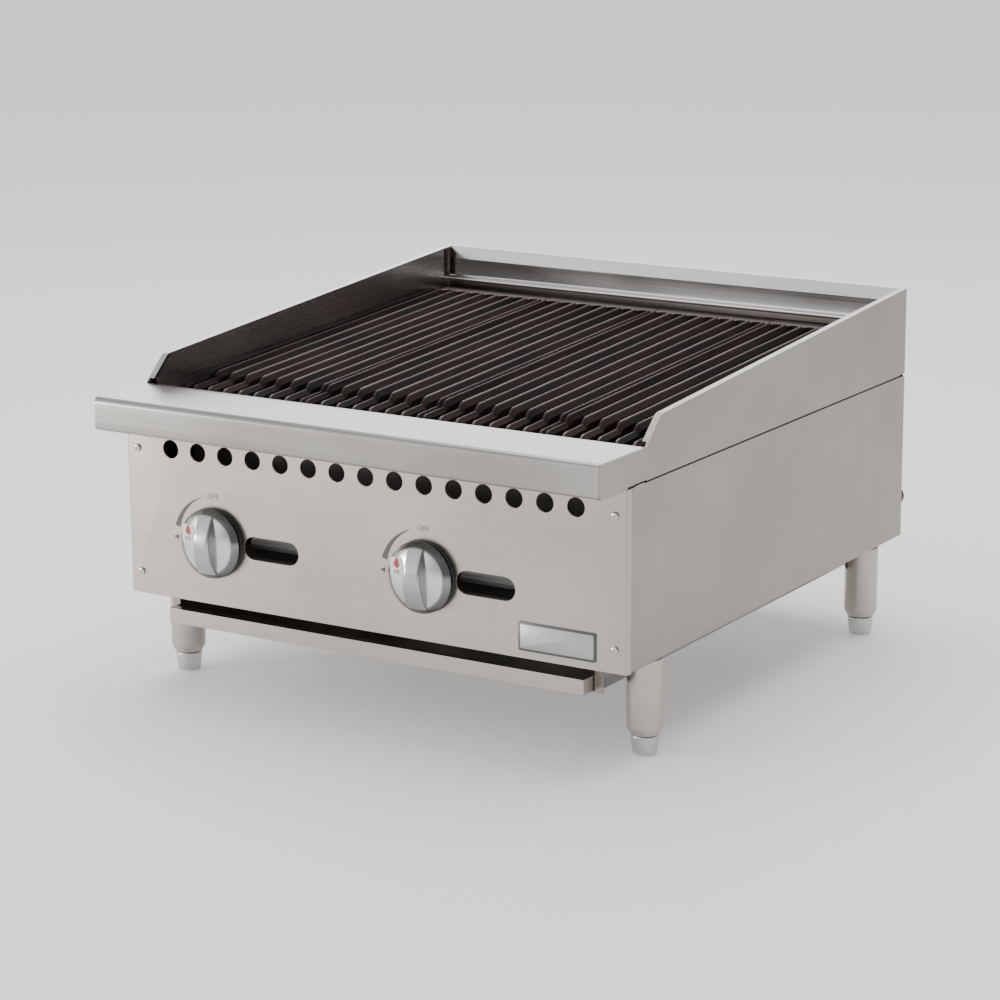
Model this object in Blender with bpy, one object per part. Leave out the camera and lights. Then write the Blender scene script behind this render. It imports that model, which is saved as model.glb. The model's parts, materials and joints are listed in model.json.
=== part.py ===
"""Two-burner countertop gas charbroiler, 24 inches wide, as separate named pieces.

Metres, +Z up.  X runs to the right as the cook sees it, the front faces -Y, and the origin is on the
counter under the middle of the object's box.  Heights are given above the counter.
"""

import math

import bmesh
import bpy
from mathutils import Matrix, Vector

# ---------------------------------------------------------------- driving dimensions
WIDTH = 0.6096                  # outside width, 24 inches
HALF = WIDTH / 2
BOX_DEPTH = 0.7011              # ledge front to the end of the rear gas nipple
LEDGE_REACH = 0.0525            # ledge overhang in front of the control panel
BODY_DEPTH = 0.6286             # control panel face to the back face
LEG_HEIGHT = 0.1016             # 4 inch legs
PANEL_HEIGHT = 0.1864           # cabinet bottom to the underside of the ledge
LEDGE_THICK = 0.0352            # height of the ledge's front face
BACK_HEIGHT = 0.2852            # cabinet bottom to the top of the back splash

SHEET = 0.0016                  # stainless sheet
GAP = 0.0003                    # clearance between pieces that touch
SEAM = 0.0023                   # dark joint between side panel and splash
FOLD = 0.0022                   # outside radius of a sharp fold

LEDGE_FRONT = -BOX_DEPTH / 2
PANEL_Y = LEDGE_FRONT + LEDGE_REACH
BACK_Y = PANEL_Y + BODY_DEPTH
INLET_END = BOX_DEPTH / 2
FLOOR_Z = LEG_HEIGHT                       # underside of the cabinet
LEDGE_Z = FLOOR_Z + PANEL_HEIGHT           # underside of the ledge
DECK_Z = LEDGE_Z + LEDGE_THICK             # top of the ledge
TOP_Z = FLOOR_Z + BACK_HEIGHT              # top of the back splash

# splash: foot, shoulder, and the rising top edge
FOOT_Y = PANEL_Y + 0.0357
SHOULDER_Y = PANEL_Y + 0.0654
SHOULDER_Z = FLOOR_Z + 0.2484
TOP_SLOPE = (TOP_Z - SHOULDER_Z) / (BACK_Y - SHOULDER_Y)
HEM = 0.007                                # width of the splash's turned-in top
BAND = 0.0142                              # leaning top band of the back splash
BAND_LEAN = 0.0035
FLANGE_Z = FLOOR_Z + 0.250                 # its bottom flange
FLANGE_REACH = 0.0145
LINING_START = FOOT_Y + 0.0105             # the side splash's inner wall starts here
LINING_END = BACK_Y - 0.0195               # and stops here
TAB_SHEET = 0.0019                         # tab that tucks behind the side panel
TAB_DROP = 0.022
TAB_RISE = 0.012

# folds of the cabinet's sheets
PANEL_RETURN = 0.008                       # control panel's turned-back sides
PANEL_FLANGE = 0.018                       # and its bottom flange
FOOT_FLANGE = 0.046                        # side panel's flange above the legs
LEDGE_FLANGE = 0.030                       # ledge's rear flange, down into the well
BACK_STEP = 0.0024                         # back panel's top below the back splash's top

# knobs, lighting slots and vent holes
AXIS_Z = FLOOR_Z + 0.0682                  # height of the valve and burner axes
BURNER_X = 0.13125                         # middle of each burner, left and right
LEG_OFFSET = 0.062                         # a burner's two tubes either side of its middle
KNOB_X = (-BURNER_X - LEG_OFFSET, BURNER_X - LEG_OFFSET)
SLOT_SIZE = (0.0694, 0.0246)
SLOT_SHIFT = 0.0115                        # slot middle, to the right of the burner's middle
VENT_COUNT = 15
VENT_PITCH = 0.0353
VENT_RADIUS = 0.010
VENT_Z = FLOOR_Z + 0.162
STEM_HOLE = 0.008                          # radius of the valve stem's hole

# drip tray and its rails
TRAY_HALF = 0.2555
TRAY_TOP = FLOOR_Z - 0.012
TRAY_BOTTOM = FLOOR_Z - 0.028
TRAY_DEPTH = 0.560
TRAY_SHEET = 0.0012
RAIL_INNER = TRAY_HALF + 0.0008
RAIL_WIDTH = 0.010
RAIL_FRONT = PANEL_Y + 0.020
RAIL_LENGTH = 0.570

# legs
LEG_X = 0.2855
LEG_Y = (PANEL_Y + 0.070, PANEL_Y + 0.567)
LEG_RADIUS = 0.0186
FOOT_TOP = 0.0206
FOOT_RADIUS = 0.0125
STUD_RADIUS = 0.005

# grates: four cast sections, eight bars each, sloping down to the front
GRATE_COUNT = 4
SLOT_COUNT = 7
GRATE_SPACE = 2 * (HALF - HEM - 0.001)
GRATE_PITCH = GRATE_SPACE / GRATE_COUNT
GRATE_WIDTH = GRATE_PITCH - 0.0008
BAR_PITCH = 0.0204
BAR_BASE = 0.0086                          # width of a bar below its ridge
BAR_RIDGE = 0.0026                         # width of the flat on the ridge
GRATE_FRONT = PANEL_Y + 0.092
GRATE_REAR = PANEL_Y + 0.615
GRATE_FRONT_Z = FLOOR_Z + 0.2122           # ridge height at the front end
GRATE_SLOPE = 0.049
GRATE_DEPTH = 0.022
REAR_BAR = 0.016                           # flat rear crossbar
FRONT_BAR = 0.022                          # lower front crossbar
FRONT_DROP = 0.0120                        # how far it lies below the ridges
STEP_DROP = 0.0065                         # the bars' lower step in front of the ridges
NOSE_LENGTH = 0.058                        # the ridges begin this far from the front end
TIE_Y = GRATE_FRONT + 0.27                 # middle crossbar under the bars
TIE_WIDTH = 0.012
TIE_DROP = 0.0113

# firebox
BOX_HALF = 0.272
BOX_FRONT = PANEL_Y + 0.072
BOX_REAR = PANEL_Y + 0.598
BOX_BASE = FLOOR_Z + 0.006
SUPPORT_DROP = 0.013                       # depth of the angles the grates lie on
BURNER_RADIUS = 0.015
MANIFOLD_RADIUS = 0.01065
MANIFOLD_Z = AXIS_Z - 0.027
MANIFOLD_Y = PANEL_Y + 0.020
SUPPLY_X = BOX_HALF + 0.0165               # gas pipe along the right side
PIPE_HOLE = 0.0128                         # radius of its hole in the back panel
RADIANT_FOOT = AXIS_Z + 0.024
RADIANT_APEX = AXIS_Z + 0.060
RADIANT_FRONT = BOX_FRONT + 0.020
RADIANT_REAR = BOX_REAR - 0.020
PILOT_RADIUS = 0.0065
PILOT_Z = AXIS_Z - 0.0065

ROUND = 32                                 # facets round a visible turned piece
SMALL_ROUND = 16


# ---------------------------------------------------------------- helpers
def clear_scene():
    """Take away whatever the start-up file holds."""
    for item in list(bpy.data.objects):
        bpy.data.objects.remove(item, do_unlink=True)


def material(name, colour, roughness, metallic):
    """A Principled material with plain values."""
    result = bpy.data.materials.get(name)
    if result:
        return result
    result = bpy.data.materials.new(name)
    result.use_nodes = True
    shader = result.node_tree.nodes["Principled BSDF"]
    shader.inputs["Base Color"].default_value = (*colour, 1.0)
    shader.inputs["Roughness"].default_value = roughness
    shader.inputs["Metallic"].default_value = metallic
    return result


def finish(name, bm, finish_material, origin=(0, 0, 0)):
    """Turn a bmesh into a named object whose origin is at the given point."""
    bmesh.ops.remove_doubles(bm, verts=bm.verts, dist=1e-6)
    bmesh.ops.recalc_face_normals(bm, faces=bm.faces)
    bmesh.ops.translate(bm, verts=bm.verts, vec=-Vector(origin))
    mesh = bpy.data.meshes.new(name)
    bm.to_mesh(mesh)
    bm.free()
    mesh.materials.append(finish_material)
    item = bpy.data.objects.new(name, mesh)
    item.location = origin
    bpy.context.scene.collection.objects.link(item)
    return item


def prism_mesh(outline, axis, start, end):
    """Extrude a flat outline along X (points y, z), Y (points x, z) or Z (points x, y)."""
    bm = bmesh.new()
    place = {
        "X": lambda a, b, c: (c, a, b),
        "Y": lambda a, b, c: (a, c, b),
        "Z": lambda a, b, c: (a, b, c),
    }[axis]
    near = [bm.verts.new(place(a, b, start)) for a, b in outline]
    far = [bm.verts.new(place(a, b, end)) for a, b in outline]
    bm.faces.new(near)
    bm.faces.new(list(reversed(far)))
    for i in range(len(outline)):
        j = (i + 1) % len(outline)
        bm.faces.new((near[j], near[i], far[i], far[j]))
    return bm


def box_mesh(x0, x1, y0, y1, z0, z1):
    """A plain box between two corners."""
    return prism_mesh([(x0, y0), (x1, y0), (x1, y1), (x0, y1)], "Z", z0, z1)


def lathe_mesh(profile, axis, centre, count):
    """Turn a profile of (radius, height) points; it closes unless it starts and ends on the axis."""
    bm = bmesh.new()
    closed = profile[0][0] > 0 and profile[-1][0] > 0
    rings = []
    for radius, height in profile:
        if radius == 0:
            rings.append([bm.verts.new((0, 0, height))])
            continue
        ring = []
        for step in range(count):
            angle = 2 * math.pi * step / count
            ring.append(bm.verts.new((radius * math.cos(angle), radius * math.sin(angle), height)))
        rings.append(ring)
    pairs = list(zip(rings, rings[1:]))
    if closed:
        pairs.append((rings[-1], rings[0]))
    for lower, upper in pairs:
        if len(lower) == 1 and len(upper) == 1:
            continue
        for i in range(count):
            j = (i + 1) % count
            corners = [lower[i % len(lower)], lower[j % len(lower)]]
            corners += [upper[j % len(upper)], upper[i % len(upper)]]
            bm.faces.new(list(dict.fromkeys(corners)))
    turn = {
        "Z": Matrix.Identity(4),
        "-Y": Matrix.Rotation(math.radians(90), 4, "X"),
        "X": Matrix.Rotation(math.radians(90), 4, "Y"),
    }[axis]
    bmesh.ops.transform(bm, matrix=Matrix.Translation(centre) @ turn, verts=bm.verts)
    return bm


def merged(*meshes):
    """Put several separate shapes in one bmesh."""
    result = bmesh.new()
    for bm in meshes:
        holder = bpy.data.meshes.new("holder")
        bm.to_mesh(holder)
        bm.free()
        result.from_mesh(holder)
        bpy.data.meshes.remove(holder)
    return result


def combine(item, bm, operation):
    """Union or cut a shape with an object, and keep the result as the object's mesh."""
    tool = finish("tool", bm, item.data.materials[0])
    change = item.modifiers.new("change", "BOOLEAN")
    change.solver = "EXACT"
    change.operation = operation
    change.object = tool
    bpy.context.view_layer.update()
    seen = item.evaluated_get(bpy.context.evaluated_depsgraph_get())
    mesh = bpy.data.meshes.new_from_object(seen)
    item.modifiers.clear()
    old = item.data
    item.data = mesh
    bpy.data.meshes.remove(old)
    bpy.data.objects.remove(tool, do_unlink=True)
    mesh.name = item.name
    return item


def tidy(item, smooth_angle=35):
    """Merge touching points and shade round stretches smooth."""
    bm = bmesh.new()
    bm.from_mesh(item.data)
    bmesh.ops.remove_doubles(bm, verts=bm.verts, dist=2e-6)
    bmesh.ops.dissolve_limit(
        bm, angle_limit=math.radians(0.05), verts=bm.verts, edges=bm.edges
    )
    bm.to_mesh(item.data)
    bm.free()
    item.data.shade_smooth()
    item.data.set_sharp_from_angle(angle=math.radians(smooth_angle))
    return item


def arc(centre, radius, start, end, steps):
    """Points along an arc, angles in degrees."""
    points = []
    for step in range(steps + 1):
        angle = math.radians(start + (end - start) * step / steps)
        points.append((centre[0] + radius * math.cos(angle), centre[1] + radius * math.sin(angle)))
    return points


def filleted(points, radii, steps=4):
    """Round each inner corner of an open path with its own radius (0 leaves it sharp)."""
    result = [points[0]]
    for i in range(1, len(points) - 1):
        corner = Vector(points[i])
        back = (Vector(points[i - 1]) - corner).normalized()
        ahead = (Vector(points[i + 1]) - corner).normalized()
        radius = radii[i - 1]
        if radius == 0:
            result.append(tuple(corner))
            continue
        half = back.angle(ahead) / 2
        reach = radius / math.tan(half)
        middle = corner + (back + ahead).normalized() * radius / math.sin(half)
        first = corner + back * reach - middle
        last = corner + ahead * reach - middle
        for step in range(steps + 1):
            blend = step / steps
            spoke = first.lerp(last, blend).normalized() * radius
            result.append(tuple(middle + spoke))
    result.append(points[-1])
    return result


def folded(path, thickness):
    """Outline of a folded sheet: a path and its copy offset to the left by the thickness."""
    inner = []
    for i, point in enumerate(path):
        here = Vector(point)
        before = Vector(path[max(i - 1, 0)])
        after = Vector(path[min(i + 1, len(path) - 1)])
        normals = []
        for run in (here - before, after - here):
            if run.length > 0:
                run.normalize()
                normals.append(Vector((-run.y, run.x)))
        middle = sum(normals, Vector((0, 0))).normalized()
        inner.append(tuple(here + middle * thickness / max(middle.dot(normals[0]), 0.2)))
    return list(path) + list(reversed(inner))


def tube(name, points, radius, finish_material, resolution=3):
    """A closed round tube along a path of points."""
    curve = bpy.data.curves.new(name, "CURVE")
    curve.dimensions = "3D"
    curve.bevel_depth = radius
    curve.bevel_resolution = resolution
    curve.use_fill_caps = True
    curve.render_resolution_u = 0
    spline = curve.splines.new("POLY")
    spline.points.add(len(points) - 1)
    for target, point in zip(spline.points, points):
        target.co = (*point, 1.0)
    curve.materials.append(finish_material)
    item = bpy.data.objects.new(name, curve)
    bpy.context.scene.collection.objects.link(item)
    return item


def top_edge(y):
    """Height of the splash's top edge at a distance from the front."""
    return SHOULDER_Z + (y - SHOULDER_Y) * TOP_SLOPE


def grate_top(y):
    """Height of the grates' ridges."""
    return GRATE_FRONT_Z + (y - GRATE_FRONT) * GRATE_SLOPE


def steel():
    return material("stainless_sheet", (0.46, 0.45, 0.43), 0.32, 1.0)


def iron():
    return material("cast_iron", (0.035, 0.030, 0.029), 0.55, 0.6)


def brass():
    return material("brass", (0.60, 0.45, 0.18), 0.35, 1.0)


def dull_steel():
    return material("aluminised_steel", (0.22, 0.22, 0.21), 0.5, 1.0)


# ---------------------------------------------------------------- cabinet
def control_panel():
    """Front panel: turned-back sides and bottom, vent holes, knob holes and lighting slots."""
    top = LEDGE_Z - GAP
    rear = PANEL_Y + PANEL_RETURN
    outline = [(-HALF, rear), (-HALF, PANEL_Y), (HALF, PANEL_Y), (HALF, rear)]
    rounded = filleted(outline, (FOLD, FOLD))
    bm = prism_mesh(folded(rounded, SHEET), "Z", FLOOR_Z, top)
    item = finish("control_panel", bm, steel())
    reach = BOX_HALF - 0.014
    combine(item, box_mesh(-reach, reach, PANEL_Y + SHEET / 2, PANEL_Y + PANEL_FLANGE,
                           FLOOR_Z, FLOOR_Z + SHEET), "UNION")
    cuts = []
    through = 0.01
    for i in range(VENT_COUNT):
        x = (i - (VENT_COUNT - 1) / 2) * VENT_PITCH
        circle = arc((x, VENT_Z), VENT_RADIUS, 0, 345, 23)
        cuts.append(prism_mesh(circle, "Y", PANEL_Y - through, PANEL_Y + through))
    for x in KNOB_X:
        circle = arc((x, AXIS_Z), STEM_HOLE, 0, 337.5, 15)
        cuts.append(prism_mesh(circle, "Y", PANEL_Y - through, PANEL_Y + through))
    for x in (-BURNER_X, BURNER_X):
        cuts.append(prism_mesh(obround(x + SLOT_SHIFT, AXIS_Z, *SLOT_SIZE), "Y",
                               PANEL_Y - through, PANEL_Y + through))
    combine(item, merged(*cuts), "DIFFERENCE")
    return tidy(item)


def obround(x, z, length, height):
    """Outline of a slot with half-round ends."""
    radius = height / 2
    half = length / 2 - radius
    return arc((x + half, z), radius, -90, 90, 10) + arc((x - half, z), radius, 90, 270, 10)


def side_panel(side, name):
    """Lower side sheet with a turned-in foot flange that the legs bolt to."""
    outer = side * HALF
    path = [
        (side * (HALF - FOOT_FLANGE), FLOOR_Z), (outer, FLOOR_Z), (outer, LEDGE_Z - GAP),
    ]
    path = filleted(path, (FOLD,))
    if side < 0:
        path = list(reversed(path))
    start = PANEL_Y + PANEL_RETURN + GAP
    item = finish(name, prism_mesh(folded(path, SHEET), "Y", start, BACK_Y), steel())
    return tidy(item)


def back_panel():
    """Rear sheet between the side panels, with a clearance hole for the gas nipple."""
    inner = HALF - SHEET - GAP
    bm = box_mesh(-inner, inner, BACK_Y - SHEET, BACK_Y, FLOOR_Z + SHEET + GAP, TOP_Z - BACK_STEP)
    item = finish("back_panel", bm, steel())
    hole = arc((SUPPLY_X, MANIFOLD_Z), PIPE_HOLE, 0, 345, 23)
    combine(item, prism_mesh(hole, "Y", BACK_Y - 0.01, BACK_Y + 0.01), "DIFFERENCE")
    return tidy(item)


def front_ledge():
    """Folded front shelf: rear flange, top, rounded front, and a return under it."""
    path = [
        (FOOT_Y, DECK_Z - LEDGE_FLANGE), (FOOT_Y, DECK_Z), (LEDGE_FRONT, DECK_Z),
        (LEDGE_FRONT, LEDGE_Z), (PANEL_Y - 0.001, LEDGE_Z),
    ]
    path = filleted(path, (0.0025, 0.0065, 0.004), 6)
    half = HALF - SHEET - GAP
    item = finish("front_ledge", prism_mesh(folded(path, SHEET), "X", -half, half), steel())
    return tidy(item)


def splash_outline():
    """Side splash with the ledge's end cap: points (y, z), counter-clockwise seen from +X."""
    seam = LEDGE_Z + SEAM
    top = [
        (BACK_Y, seam), (BACK_Y, TOP_Z), (SHOULDER_Y, SHOULDER_Z), (FOOT_Y, DECK_Z),
        (LEDGE_FRONT, DECK_Z), (LEDGE_FRONT, LEDGE_Z), (PANEL_Y, LEDGE_Z), (PANEL_Y, seam),
    ]
    return filleted(top, (0.0015, 0.012, 0.004, 0.0065, 0.004, 0.003), 5)


def side_splash(side, name):
    """Side splash sheet, its turned-in hem, and the tab that tucks behind the side panel."""
    outer = side * HALF
    inner = side * (HALF - SHEET)
    item = finish(name, prism_mesh(splash_outline(), "X", outer, inner), steel())
    corner = Vector((FOOT_Y, DECK_Z))
    along = (Vector((SHOULDER_Y, SHOULDER_Z)) - corner).normalized()
    rise = [tuple(corner + along * 0.006), (SHOULDER_Y, SHOULDER_Z), (BACK_Y, TOP_Z)]
    path = list(reversed(filleted(rise, (0.012,), 5)))
    hem_edge = side * (HALF - HEM)
    bite = side * (HALF - SHEET * 0.4)
    combine(item, prism_mesh(folded(path, SHEET), "X", bite, hem_edge), "UNION")
    lining = [
        (LINING_END, top_edge(LINING_END) - SHEET * 0.5),
        (SHOULDER_Y + 0.006, top_edge(SHOULDER_Y + 0.006) - SHEET * 0.5),
        (SHOULDER_Y - 0.006, SHOULDER_Z - 0.009),
        (LINING_START, DECK_Z + 0.004), (LINING_START, DECK_Z - 0.026),
        (LINING_END, grate_top(LINING_END) - 0.019),
    ]
    wall = side * (HALF - HEM + SHEET)
    combine(item, prism_mesh(lining, "X", hem_edge, wall), "UNION")
    tab_in = side * (HALF - SHEET - GAP - TAB_SHEET)
    tab_out = side * (HALF - SHEET - GAP)
    step = LEDGE_Z + SEAM + 0.002
    low = LEDGE_Z - TAB_DROP
    tab = [
        (tab_in, low), (tab_out, low), (tab_out, step),
        (bite, step), (bite, step + TAB_RISE), (tab_in, step + TAB_RISE),
    ]
    combine(item, prism_mesh(tab, "Y", FOOT_Y + 0.004, BACK_Y - 0.008), "UNION")
    return tidy(item)


def splash_back():
    """Back splash: narrow top, leaning band, upright face, and a flange with a turned-down lip."""
    face = BACK_Y - 0.003 - BAND_LEAN
    path = [
        (BACK_Y, TOP_Z), (BACK_Y - 0.003, TOP_Z), (face, TOP_Z - BAND), (face, FLANGE_Z),
        (face - FLANGE_REACH, FLANGE_Z), (face - FLANGE_REACH, FLANGE_Z - 0.0038),
    ]
    path = filleted(path, (0.001, 0.002, 0.002, 0.0015))
    half = HALF - HEM - GAP
    item = finish("splash_back", prism_mesh(folded(path, SHEET), "X", -half, half), steel())
    return tidy(item)


def firebox():
    """Four liner plates round the burners; the front one lets the burner tubes through."""
    front_top = grate_top(BOX_FRONT) - GRATE_DEPTH - SUPPORT_DROP - 0.002
    rear_top = grate_top(BOX_REAR) - GRATE_DEPTH - SUPPORT_DROP - 0.002
    front = finish("firebox_front", box_mesh(-BOX_HALF, BOX_HALF, BOX_FRONT, BOX_FRONT + SHEET,
                                             BOX_BASE, front_top), dull_steel())
    holes = []
    for x in KNOB_X:
        circle = arc((x, AXIS_Z), BURNER_RADIUS + 0.0006, 0, 345, 23)
        holes.append(prism_mesh(circle, "Y", BOX_FRONT - 0.01, BOX_FRONT + 0.01))
    for x in (-BURNER_X, BURNER_X):
        circle = arc((x + SLOT_SHIFT, PILOT_Z), 0.0038, 0, 337.5, 15)
        holes.append(prism_mesh(circle, "Y", BOX_FRONT - 0.01, BOX_FRONT + 0.01))
    combine(front, merged(*holes), "DIFFERENCE")
    tidy(front)
    finish("firebox_rear", box_mesh(-BOX_HALF, BOX_HALF, BOX_REAR, BOX_REAR + SHEET,
                                    BOX_BASE, rear_top), dull_steel())
    start = BOX_FRONT + SHEET + GAP
    end = BOX_REAR - GAP
    profile = [(start, BOX_BASE), (end, BOX_BASE), (end, rear_top), (start, front_top)]
    for side, name in ((-1, "firebox_left"), (1, "firebox_right")):
        bm = prism_mesh(profile, "X", side * BOX_HALF, side * (BOX_HALF - SHEET))
        finish(name, bm, dull_steel())


def grate_supports():
    """Two angle irons across the box that the grates lie on."""
    half = HALF - SHEET - GAP - TAB_SHEET - GAP
    leg = 0.022
    web = 0.003
    for name, y, turn in (("grate_support_front", GRATE_FRONT + 0.014, 1),
                          ("grate_support_rear", GRATE_REAR - 0.004, -1)):
        low = min(y, y + turn * leg)
        top = grate_top(low) - GRATE_DEPTH - GAP
        outline = [
            (y, top), (y + turn * leg, top), (y + turn * leg, top - web),
            (y + turn * web, top - web), (y + turn * web, top - SUPPORT_DROP), (y, top - SUPPORT_DROP),
        ]
        finish(name, prism_mesh(outline, "X", -half, half), dull_steel())


# ---------------------------------------------------------------- grates
def bar_centres():
    """Across one section: the middle of each slot, then the bars between and beside them."""
    slots = [(i - (SLOT_COUNT - 1) / 2) * BAR_PITCH for i in range(SLOT_COUNT)]
    inner = [(a + b) / 2 for a, b in zip(slots, slots[1:])]
    edge = GRATE_WIDTH / 2
    slot_half = (BAR_PITCH - BAR_BASE) / 2
    outer = slots[-1] + slot_half
    return slots, inner, (edge + outer) / 2, edge - outer


def grate_bar(x, width):
    """One bar: a ridge-topped prism whose ridge slopes down at the front end."""
    length = GRATE_REAR - GRATE_FRONT
    ridge = min(BAR_RIDGE, width * 0.4) / 2
    half = width / 2
    shoulder = 0.006
    bm = bmesh.new()
    stations = (
        (0.010, -STEP_DROP - 0.004, half, ridge),
        (0.016, -STEP_DROP, half, ridge),
        (NOSE_LENGTH - 0.008, -STEP_DROP, half, ridge),
        (NOSE_LENGTH - 0.005, -STEP_DROP * 0.4, half, ridge),
        (NOSE_LENGTH, 0.0, half, ridge),
        (length - REAR_BAR * 0.5, 0.0, half, ridge),
    )
    rings = []
    for run, drop, wide, crest in stations:
        y = GRATE_FRONT + run
        top = grate_top(y) + drop
        base = grate_top(y) - GRATE_DEPTH
        side = max(top - shoulder, base + 0.004)
        points = [
            (x - wide * 0.7, base + 0.0004), (x + wide * 0.7, base + 0.0004), (x + wide, side),
            (x + crest, top), (x - crest, top), (x - wide, side),
        ]
        rings.append([bm.verts.new((px, y, pz)) for px, pz in points])
    bm.faces.new(rings[0])
    bm.faces.new(list(reversed(rings[-1])))
    for near, far in zip(rings, rings[1:]):
        for i in range(len(near)):
            j = (i + 1) % len(near)
            bm.faces.new((near[j], near[i], far[i], far[j]))
    return bm


def sloped_plate(outline, top_drop, depth):
    """A plate that follows the grate's slope, from a flat outline of (x, y) points."""
    bm = bmesh.new()
    upper = [bm.verts.new((x, y, grate_top(y) - top_drop)) for x, y in outline]
    lower = [bm.verts.new((x, y, grate_top(y) - top_drop - depth)) for x, y in outline]
    bm.faces.new(upper)
    bm.faces.new(list(reversed(lower)))
    for i in range(len(outline)):
        j = (i + 1) % len(outline)
        bm.faces.new((upper[j], upper[i], lower[i], lower[j]))
    return bm


def grate_mesh():
    """A whole cast section, centred on x = 0, with its pivot at the rear bottom edge."""
    slots, inner, outer, outer_width = bar_centres()
    slot_half = (BAR_PITCH - BAR_BASE) / 2
    half = GRATE_WIDTH / 2
    front_edge = GRATE_REAR - REAR_BAR - slot_half
    outline = [(-half, GRATE_REAR), (-half, front_edge)]
    for x in slots:
        outline += arc((x, front_edge), slot_half, 180, 0, 8)
    outline += [(half, front_edge), (half, GRATE_REAR)]
    name = "grate_1"
    pivot = (0, GRATE_REAR, grate_top(GRATE_REAR) - GRATE_DEPTH)
    item = finish(name, sloped_plate(outline, 0.0012, GRATE_DEPTH - 0.0012), iron())
    bars = [grate_bar(x, BAR_BASE + 0.0004) for x in inner]
    bars += [grate_bar(x, outer_width - 0.0003) for x in (-outer, outer)]
    combine(item, merged(*bars), "UNION")
    nose = GRATE_FRONT + FRONT_BAR
    plate = [(half - 0.0007, GRATE_FRONT), (half - 0.0007, nose)]
    for x in reversed(slots):
        plate += arc((x, nose), slot_half, 0, -180, 8)
    plate += [(-half + 0.0007, nose), (-half + 0.0007, GRATE_FRONT)]
    side = half - 0.0011
    tie_rear = TIE_Y + TIE_WIDTH
    tie = [(-side, TIE_Y), (side, TIE_Y), (side, tie_rear), (-side, tie_rear)]
    depth = GRATE_DEPTH - FRONT_DROP - 0.0007
    rails = [sloped_plate(list(reversed(plate)), FRONT_DROP, depth)]
    rails.append(sloped_plate(tie, TIE_DROP, GRATE_DEPTH - TIE_DROP - 0.0009))
    combine(item, merged(*rails), "UNION")
    tidy(item, 25)
    item.data.transform(Matrix.Translation(-Vector(pivot)))
    return item, pivot


def grates():
    """Four sections side by side; the copies share the first one's mesh."""
    first, pivot = grate_mesh()
    for i in range(GRATE_COUNT):
        item = first if i == 0 else bpy.data.objects.new(f"grate_{i + 1}", first.data)
        if i > 0:
            bpy.context.scene.collection.objects.link(item)
        item.location = ((i - (GRATE_COUNT - 1) / 2) * GRATE_PITCH, pivot[1], pivot[2])


# ---------------------------------------------------------------- gas train
def burner_path(x):
    """U-shaped burner: in at the left tube, round the back, and forward up the right tube."""
    near = PANEL_Y + 0.052
    bend_y = PANEL_Y + 0.500
    start = [(x - LEG_OFFSET, near, AXIS_Z), (x - LEG_OFFSET, bend_y, AXIS_Z)]
    turn = arc((x, bend_y), LEG_OFFSET, 180, 0, 14)
    bend = [(px, py, AXIS_Z) for px, py in turn[1:-1]]
    back = [(x + LEG_OFFSET, bend_y, AXIS_Z), (x + LEG_OFFSET, PANEL_Y + 0.100, AXIS_Z)]
    return start + bend + back


def burners():
    """Two burner tubes, the bar they lie on, and their air shutters."""
    for x, word in ((-BURNER_X, "left"), (BURNER_X, "right")):
        tube(f"burner_{word}", burner_path(x), BURNER_RADIUS, iron())
        inner = BURNER_RADIUS + 0.0005
        outer = inner + 0.0015
        axis_x = x - LEG_OFFSET
        centre = (axis_x, PANEL_Y + 0.054, AXIS_Z)
        ring = [(inner, -0.014), (outer, -0.014), (outer, 0.0), (inner, 0.0)]
        shutter = finish(f"air_shutter_{word}", lathe_mesh(ring, "-Y", (0, 0, 0), SMALL_ROUND),
                         brass())
        windows = []
        for turn in (0, 90):
            window = box_mesh(-0.005, 0.005, 0.004, 0.010, -0.03, 0.03)
            bmesh.ops.rotate(window, verts=window.verts, cent=(0, 0, 0),
                             matrix=Matrix.Rotation(math.radians(turn), 3, "Y"))
            windows.append(window)
        for window in windows:
            combine(shutter, window, "DIFFERENCE")
        tidy(shutter)
        shutter.location = centre
    top = AXIS_Z - BURNER_RADIUS - GAP
    half = BOX_HALF - SHEET - GAP
    finish("burner_rest", box_mesh(-half, half, PANEL_Y + 0.470, PANEL_Y + 0.490,
                                   top - 0.004, top), dull_steel())


def radiants():
    """Four inverted-V heat plates, one over each burner tube, and the rack they lie on."""
    half_width = 0.048
    tubes = [x + turn * LEG_OFFSET for x in (-BURNER_X, BURNER_X) for turn in (-1, 1)]
    for number, x in enumerate(tubes, 1):
        path = [(x + half_width, RADIANT_FOOT), (x, RADIANT_APEX), (x - half_width, RADIANT_FOOT)]
        outline = folded(filleted(path, (0.006,)), 0.002)
        bm = prism_mesh(outline, "Y", RADIANT_FRONT, RADIANT_REAR)
        tidy(finish(f"radiant_{number}", bm, dull_steel()))
    half = BOX_HALF - SHEET - GAP
    top = RADIANT_FOOT - 0.0022 - GAP
    low = top - 0.004
    first = RADIANT_FRONT + 0.004
    last = RADIANT_REAR - 0.004
    bar = 0.012
    side = 0.008
    rack = finish("radiant_rack", box_mesh(-half, half, first, first + bar, low, top), dull_steel())
    combine(rack, box_mesh(-half, half, last - bar, last, low, top), "UNION")
    for x0 in (-half, half - side):
        combine(rack, box_mesh(x0, x0 + side, first + 0.002, last - 0.002, low, top), "UNION")
    tidy(rack)


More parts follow.
